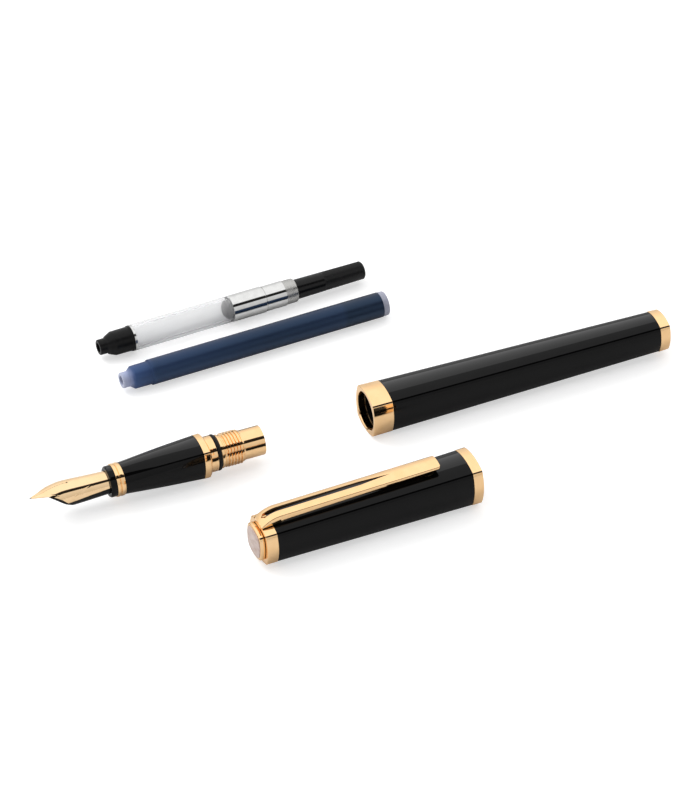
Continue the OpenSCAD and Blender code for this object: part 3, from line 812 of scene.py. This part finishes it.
def make_cap():
    """Lip ring, lacquered shell, crown ring, finial with its pearly face, and clip.
    The crown ring is longer than in the CAD and the finial shorter, for a thin seam between them."""
    crown_longer, finial_shorter = 0.35, 0.4
    lip_flat, crown_flat = 0.36, 0.35  # flat rings inside the end faces' rounded rims
    ring_front = cap.span("cap_lip_ring")[0]
    shell_front = cap.span("cap_shell")[0]
    crown_front, crown_back = cap.span("cap_crown_ring")
    crown_face = cap.face("cap_crown_ring", 0)
    lip_face = cap.face("cap_lip_ring", 1)
    mouth_r, mouth_depth, bore_r, screw_r = 5.45, -12.0, 4.9, 1.25
    add_piece("lip_ring", cap, lofted([
        (ring_front + SEAM, mouth_r), (0, mouth_r, 0.15), (0, lip_face - lip_flat, 0, SQUARE),
        (0, lip_face, 0.15, SQUARE), (ring_front + SEAM, cap.face("cap_lip_ring", 0), 0.08, SQUARE)],
        loop=True), "cap_lip_ring")
    add_piece("cap_body", cap, lofted([
        (shell_front, bore_r), (shell_front, cap.face("cap_shell", 0), 0.06, SQUARE),
        (ring_front, cap.face("cap_shell", 1), 0.06, SQUARE), (ring_front, mouth_r), (mouth_depth, mouth_r),
        (mouth_depth, bore_r)], loop=True), "cap_shell")
    crown_front -= crown_longer
    add_piece("crown_ring", cap, lofted([
        (crown_front, screw_r), (crown_front, crown_face - crown_flat, 0, SQUARE),
        (crown_front, crown_face, 0.14, SQUARE),
        (crown_back - SEAM, cap.face("cap_crown_ring", 1), 0.08, SQUARE), (crown_back - SEAM, screw_r)],
        loop=True), "cap_crown_ring")
    finial_front, finial_back = cap.span("finial")[0] + finial_shorter, crown_front - 0.1
    finial_face = cap.face("finial", 1)
    add_piece("finial_button", cap, lofted([
        (finial_front, 0), (finial_front, finial_face, 0.22, SQUARE),
        (finial_back, finial_face, 0.12, SQUARE), (finial_back, 0)], corner=0.8), "finial")
    inlay_front, inlay_back = (x + finial_shorter for x in cap.span("finial_inlay"))
    inlay_face = cap.face("finial_inlay", 1)
    bulge = 0.12
    dome = [(inlay_front + bulge * (1 - math.cos(math.pi / 2 * s)), inlay_face * s, 0, SQUARE)
        for s in (0.15, 0.3, 0.45, 0.6, 0.75, 0.88)]
    add_piece("pearl_face", cap, lofted([
        (inlay_front, 0), *dome, (inlay_front + bulge + 0.02, inlay_face, 0.08, SQUARE),
        (inlay_back, inlay_face, 0, SQUARE), (inlay_back, 0)], corner=1.2), "finial_inlay")
    make_clip()


def make_clip():
    """Clip: a crowned bar with side walls, bent down to its foot, hollow below, with a long pointed slot."""
    foot, tip = cap.span("clip")
    top = float(cap.points("clip")[:, 2].max())
    half = float(cap.points("clip")[:, 1].max())
    crest, slope, bend_r, tip_round = -51.3, 0.25, 7.03, 0.5
    crown_top = cap.face("cap_crown_ring", 0)
    crown_back = cap.span("cap_crown_ring")[1]
    crown_drop, corner, wall = 0.62, 0.16, 0.55
    thin_side, side_growth, low_reach, foot_gap = 0.62, 0.85, 4, 0.12
    hollow_low, slot_low, narrowest = 3.5, 3.6, 0.02

    def top_at(x):
        """Height of the top's middle: a straight slope, then a quarter bend beyond the crest."""
        if x >= crest:
            return top - slope * (tip - x) / (tip - crest)
        return top - slope - (bend_r - math.sqrt(bend_r ** 2 - (crest - x) ** 2))

    def bottom_at(x):
        """Height of the side walls' lower edge, which eases down to just above the crown ring."""
        share = min(1, (tip - x) / (tip - crest))
        under = top_at(x) - crown_drop - (thin_side + side_growth * share)
        near = min(1, max(0, (crown_back + low_reach - x) / low_reach))
        blend = near * near * (3 - 2 * near)
        return under * (1 - blend) + (crown_top + foot_gap) * blend

    def half_at(x):
        """Half the width, rounded at the tip's corners."""
        along = tip - x
        if along >= tip_round:
            return half
        return half - tip_round + math.sqrt(max(0, tip_round ** 2 - (tip_round - along) ** 2))

    def crown_ring_at(x, inset, z_low, bevel):
        """Crowned top and straight sides at x, with the top's edges rounded over bevel mm."""
        w, z_top = max(half_at(x) - inset, narrowest), top_at(x) - inset
        arc_r = (half ** 2 + crown_drop ** 2) / (2 * crown_drop)
        y = np.linspace(-w + bevel * 0.8, w - bevel * 0.8, 29)
        z = z_top - (arc_r - np.sqrt(arc_r ** 2 - y ** 2))
        z_edge = z_top - (arc_r - math.sqrt(arc_r ** 2 - w ** 2))
        over = [(w - bevel * 0.25, z_edge - bevel * 0.35), (w, z_edge - bevel * 1.2)] if bevel else []
        right = [*over, (w, z_low + 0.08), (w - 0.06, z_low)]
        left = [(-a, b) for a, b in reversed(right)]
        return ring_at(x, [*zip(y.tolist(), z.tolist()), *right, *left])

    stations = np.concatenate([
        tip - tip_round * (1 - np.cos(np.linspace(0, math.pi / 2, 10))),
        np.linspace(tip - tip_round, crest, 60)[1:], np.linspace(crest, foot + 0.06, 36)[1:]])
    body = raw_object("clip_bar", cap, skin([crown_ring_at(x, 0, bottom_at(x), corner) for x in stations]))
    inner = np.concatenate([np.linspace(tip - 1.0, crest, 50), np.linspace(crest, foot + 1.6, 20)[1:]])
    hollow = raw_object("hollow", cap, skin([crown_ring_at(x, wall, hollow_low, 0) for x in inner]))
    slot = raw_object("slot", cap, prism_shape(
        [(foot + 0.9, 0), (foot + 1.6, 0.74), (-30.0, 0.64), (-22.0, 0)], slot_low, top + 1))
    cut(body, hollow, slot)
    join(body, raw_object("bump", cap, blob((tip - 2.2, 0, top - 1.12), (1.5, 1.35, 0.88))))
    tab = box_shape((foot + 0.02, -1.5, crown_top - 0.6), (foot + 0.45, 1.5, top_at(foot + 0.5) - 0.5))
    join(body, raw_object("tab", cap, tab))
    finish_piece(body, "clip", sharp=38)


# ---- Converter ----

SPIGOT_R = 2.85  # where the knurled ring sits inside the ferrule


def knurled_rings(start, end, radius_at, depth, ribs, lead, spacing, crossed=False):
    """Rings with fine helical ribs; crossed ones form diamonds. lead is turns a millimetre."""
    run_out = 0.25
    angle = np.arange(KNURL_STEPS) / KNURL_STEPS

    def ridge(turns):
        return np.abs(((ribs * (angle + turns)) % 1) * 2 - 1)

    rings = []
    for x in np.linspace(start, end, int((end - start) / spacing)):
        turns = lead * (x - start)
        wave = np.minimum(ridge(turns), ridge(-turns)) if crossed else ridge(turns)
        fade = max(0, min(1, (x - start) / run_out, (end - x) / run_out))
        rings.append(ring_at(x, circle(radius_at(x) - depth * wave * fade, KNURL_STEPS)))
    return rings


def make_converter():
    """Mouth piece, front band, clear tube, ferrule, knurled ring, knob and piston seal."""
    mouth_end = converter.span("converter_mouth")[1] - 3.1
    band_to = converter.span("converter_band")[1]
    seam, ferrule_end = converter.span("converter_ferrule")
    ring_end = converter.span("converter_ring")[1]
    tube_r, bore_r = converter.radius("converter_tube"), 2.5
    ferrule_r = converter.radius("converter_ferrule")
    socket_r, socket_len, throat_r, band_r = 1.2, 6.5, 0.6, 3.35
    add_piece("converter_nose", converter, lofted([
        (0, socket_r, 0.1), (0, 2.0, 0.28), (1.95, 2.0, 0.12), (2.3, 2.35, 0.1), (4.0, 3.1, 0.4),
        (mouth_end - 0.6, 3.14, 0.1), (mouth_end - 0.5, 3.3, 0.08), (mouth_end, 3.3, 0.06),
        (mouth_end, bore_r), (mouth_end + 0.6, bore_r - 0.1), (mouth_end + 0.6, throat_r),
        (socket_len, throat_r), (socket_len, socket_r)], loop=True), "converter_mouth")
    add_piece("converter_front_band", converter, lofted([
        (mouth_end + SEAM, bore_r), (mouth_end + SEAM, band_r, 0.1), (band_to - SEAM, band_r, 0.1),
        (band_to - SEAM, bore_r)], loop=True), "converter_band")
    tail_r, tube_to = 3.0, converter.span("converter_tube")[1]
    add_piece("reservoir_tube", converter, lofted([
        (band_to + SEAM, bore_r), (band_to + SEAM, tube_r, 0.05), (seam - SEAM, tube_r, 0.05),
        (seam - SEAM, tail_r), (tube_to, tail_r), (tube_to, bore_r)], loop=True), "converter_tube")
    step, seat = seam + 9.3, seam + 8.1
    step_r, groove_r = 3.27, 3.1
    add_piece("ferrule", converter, lofted([
        (seam, tail_r), (seam, ferrule_r, 0.08), (step - 0.25, ferrule_r, 0.06), (step - 0.22, groove_r),
        (step, groove_r), (step, step_r, 0.02), (ferrule_end - SEAM, step_r, 0.04),
        (ferrule_end - SEAM, SPIGOT_R), (seat, SPIGOT_R), (seat, tail_r)], loop=True), "converter_ferrule")
    make_knurled_ring(ferrule_end, ring_end)
    make_knob(ring_end)
    front, back = converter.span("piston_seal")
    seal_r = converter.radius("piston_seal")
    waist_r = seal_r - 0.35
    add_piece("piston_plug", converter, lofted([
        (front, 0), (front, 1.5, 0.5), (front + 0.7, seal_r, 0.25), (front + 1.4, seal_r, 0.12),
        (front + 1.7, waist_r, 0.1), (back - 1.7, waist_r, 0.1), (back - 1.4, seal_r, 0.12),
        (back, seal_r, 0.1), (back, 0)]), "piston_seal")


def make_knurled_ring(start, end):
    """Ring with a band of diamonds, held by a spigot inside the ferrule."""
    r, hole, rim, deep = 3.12, 2.37, 2.72, start - 3.7
    rings = turned_rings([
        (deep, hole), (deep, SPIGOT_R), (start + SEAM, SPIGOT_R), (start + SEAM, r - 0.05, 0.05),
        (start + 0.12, r)], KNURL_STEPS)
    rings += knurled_rings(start + 0.15, end - 0.95, lambda x: r, 0.05, 60, 0.02, 0.08, crossed=True)
    rings += turned_rings([
        (end - 0.85, r - 0.02), (end - 0.75, r - 0.1, 0.03), (end - 0.6, r, 0.05),
        (end - 0.3, r - 0.05, 0.1), (end, rim, 0.05), (end, hole)], KNURL_STEPS)
    add_piece("knurled_ring", converter, skin(rings, loop=True), "converter_ring", sharp=50)


def make_knob(ring_end):
    """Knob: a flange held in the ferrule, a neck, and a tapered grip with a ribbed end and a dimple."""
    start, end = converter.span("converter_knob")
    flange_r, flange_len, neck_r, neck_end, knurl_from = 2.75, 1.7, 2.3, ring_end + 0.1, 61.9
    dimple_r, dimple_floor = 0.3, end - 1.4

    def taper(x):
        return 2.58 - 0.2 * (x - neck_end) / (end - neck_end)

    rings = turned_rings([
        (start, 1.35), (start, flange_r, 0.05), (start + flange_len, flange_r, 0.05),
        (start + flange_len, neck_r), (neck_end, neck_r), (neck_end, taper(neck_end), 0.12),
        (knurl_from - 0.1, taper(knurl_from))], KNURL_STEPS)
    rings += knurled_rings(knurl_from, end - 0.45, taper, 0.16, 24, -0.08, 0.12)
    rings += turned_rings([(end - 0.42, taper(end)), (end, 2.0, 0.2), (end, dimple_r)], KNURL_STEPS)
    rings.append(ring_at(dimple_floor, circle(dimple_r, KNURL_STEPS)))
    knob = skin(rings, ends=((start, 0, 0), (dimple_floor, 0, 0)))
    add_piece("filling_knob", converter, knob, "converter_knob", sharp=50)


# ---- Cartridge ----


def make_cartridge():
    """Moulded body with its nipple and shoulder, and the pale plug in its end."""
    low, high = cartridge.span("cartridge_body")
    r = cartridge.radius("cartridge_body")
    mouth_r, throat_r = 1.2, 1.55
    bore_r = r - 0.5
    seat = cartridge.span("cartridge_seal")[0]
    add_piece("cartridge_tube", cartridge, lofted([
        (low, mouth_r, 0.12), (low, 2.0, 0.2), (1.95, 2.0, 0.1), (2.15, 2.2, 0.08), (3.05, 2.92, 0.25),
        (7.45, 2.98, 0.05), (7.7, r, 0.08), (high, r, 0.05), (high, bore_r), (4.4, bore_r), (3.6, 1.9),
        (3.6, throat_r), (seat, throat_r), (seat, mouth_r)], loop=True), "cartridge_body")
    plug_from, plug_to = cartridge.span("cartridge_end_plug")
    add_piece("cartridge_plug", cartridge, lofted([
        (plug_from, 0), (plug_from, bore_r - 0.1, 0.2), (high + SEAM, bore_r),
        (high + SEAM, r - 0.05, 0.04), (plug_to - 0.25, r - 0.1, 0.3), (plug_to, r - 0.75, 0.35),
        (plug_to - 0.1, r - 1.1, 0.2), (plug_to - 0.1, 0)], steps=5), "cartridge_end_plug")


# ---- Stage, light and camera ----


def make_floor():
    """Pale floor, which looks brighter to the camera than it lights the pieces."""
    mesh = bpy.data.meshes.new("floor")
    side = 1.6
    corners = [(-side, -side, 0), (side, -side, 0), (side, side, 0), (-side, side, 0)]
    mesh.from_pydata(corners, [], [(0, 1, 2, 3)])
    floor = bpy.data.objects.new("floor", mesh)
    scene.collection.objects.link(floor)
    paper = Look("floor_paper", (0.85, 0.85, 0.85), 0.95, Specular_IOR_Level=0.1)
    seen = paper.add("ShaderNodeLightPath").outputs["Is Camera Ray"]
    paper.link(paper.span(seen, 0.76, 0.64), paper.shader.inputs["Base Color"])
    paper.link(paper.span(seen, 0.0, 0.54), paper.shader.inputs["Emission Strength"])
    mesh.materials.append(paper.material)


def make_world():
    """Studio surround. Its stops run from the front horizon (0 degrees) over the top to the back
    one: a front panel, a dark gap and a wide softbox overhead."""
    strength = 1.7
    stops = [(0, 0.7), (43, 0.9), (45, 0.02), (66, 0.02), (69, 1.27), (138, 1.27), (165, 0.95), (180, 0.8)]
    world = bpy.data.worlds.new("studio")
    scene.world = world
    world.use_nodes = True
    tree = world.node_tree
    add, link = tree.nodes.new, tree.links.new
    split = add("ShaderNodeSeparateXYZ")
    link(add("ShaderNodeTexCoord").outputs["Generated"], split.inputs["Vector"])
    front = add("ShaderNodeMath")
    front.operation = "MULTIPLY"
    front.inputs[1].default_value = -1.0
    link(split.outputs["Y"], front.inputs[0])
    angle = add("ShaderNodeMath")
    angle.operation = "ARCTAN2"
    link(split.outputs["Z"], angle.inputs[0])
    link(front.outputs["Value"], angle.inputs[1])
    share = add("ShaderNodeMapRange")
    share.inputs["From Max"].default_value = math.pi
    link(angle.outputs["Value"], share.inputs["Value"])
    ramp = add("ShaderNodeValToRGB")
    fill_ramp(ramp.color_ramp, [(degrees / 180, [value / strength] * 3) for degrees, value in stops])
    link(share.outputs["Result"], ramp.inputs["Fac"])
    studio = tree.nodes["Background"]
    studio.inputs["Strength"].default_value = strength
    link(ramp.outputs["Color"], studio.inputs["Color"])
    plain = add("ShaderNodeBackground")
    plain.inputs["Color"].default_value = (1, 1, 1, 1)
    choose = add("ShaderNodeMixShader")
    link(add("ShaderNodeLightPath").outputs["Is Camera Ray"], choose.inputs["Fac"])
    link(studio.outputs["Background"], choose.inputs[1])
    link(plain.outputs["Background"], choose.inputs[2])
    link(choose.outputs["Shader"], tree.nodes["World Output"].inputs["Surface"])


def area_light(name, shape, size, energy):
    """An area light of size (width, height), in metres and watts."""
    lamp = bpy.data.lights.new(name, "AREA")
    lamp.shape = shape
    lamp.size, lamp.size_y = size
    lamp.energy = energy
    light = bpy.data.objects.new(name, lamp)
    light.rotation_mode = "QUATERNION"
    scene.collection.objects.link(light)
    return light


def make_key_light():
    """Soft light from behind on the left: the contact shadows fall towards the viewer's right."""
    light = area_light("key", "SQUARE", (0.35, 0.35), 2.2)
    towards = Vector((0.42, -0.5, -0.76)).normalized()
    light.location = pen_point - towards * 0.8
    light.rotation_quaternion = towards.to_track_quat("-Z", "Y")
    light.visible_glossy = False


def make_lacquer_light():
    """Softbox behind and above that only the black pieces see: it brightens their tops, not the gilt."""
    radiance, tilt, width, height = 1.4, math.radians(39), 1.6, 0.85
    black = bpy.data.collections.new("black_pieces")
    dark = [MATERIALS["black_lacquer"], MATERIALS["black_gloss"]]
    for piece in scene.objects:
        if piece.type == "MESH" and any(m in dark for m in piece.data.materials):
            black.objects.link(piece)
    light = area_light("back_softbox", "RECTANGLE", (width, height), radiance * math.pi * width * height)
    away = Vector((0, math.cos(tilt), math.sin(tilt)))
    light.location = pen_point + away
    light.rotation_quaternion = away.to_track_quat("Z", "Y")
    light.light_linking.receiver_collection = black


def make_camera():
    """Camera a metre from a point near the barrel's mouth, looking down from the front left."""
    camera = bpy.data.objects.new("camera", bpy.data.cameras.new("camera"))
    scene.collection.objects.link(camera)
    target = pen_point + Vector((-1.384, 6.176, 5.0)) * MM
    view = Vector((0.3044, 0.7075, -0.6378)).normalized()
    camera.location = target - view
    camera.rotation_mode = "QUATERNION"
    camera.rotation_quaternion = view.to_track_quat("-Z", "Y")
    camera.data.sensor_width = 36
    camera.data.lens = 183.1
    camera.data.clip_start = 0.05
    scene.camera = camera


def finish_cad_nodes():
    """Gives the CAD nodes that no piece replaces their materials."""
    for name, node in frame["nodes"].items():
        if not node.hide_render:
            node.data.materials.clear()
            node.data.materials.append(MATERIALS[slot_of[name]])


pen_point = Vector((barrel.origin.x, barrel.origin.y, 0))  # the barrel's mouth, on the floor
make_barrel()
make_section()
make_cap()
make_converter()
make_cartridge()
finish_cad_nodes()
make_floor()
make_world()
make_key_light()
make_lacquer_light()
make_camera()
scene.view_settings.view_transform = "Standard"
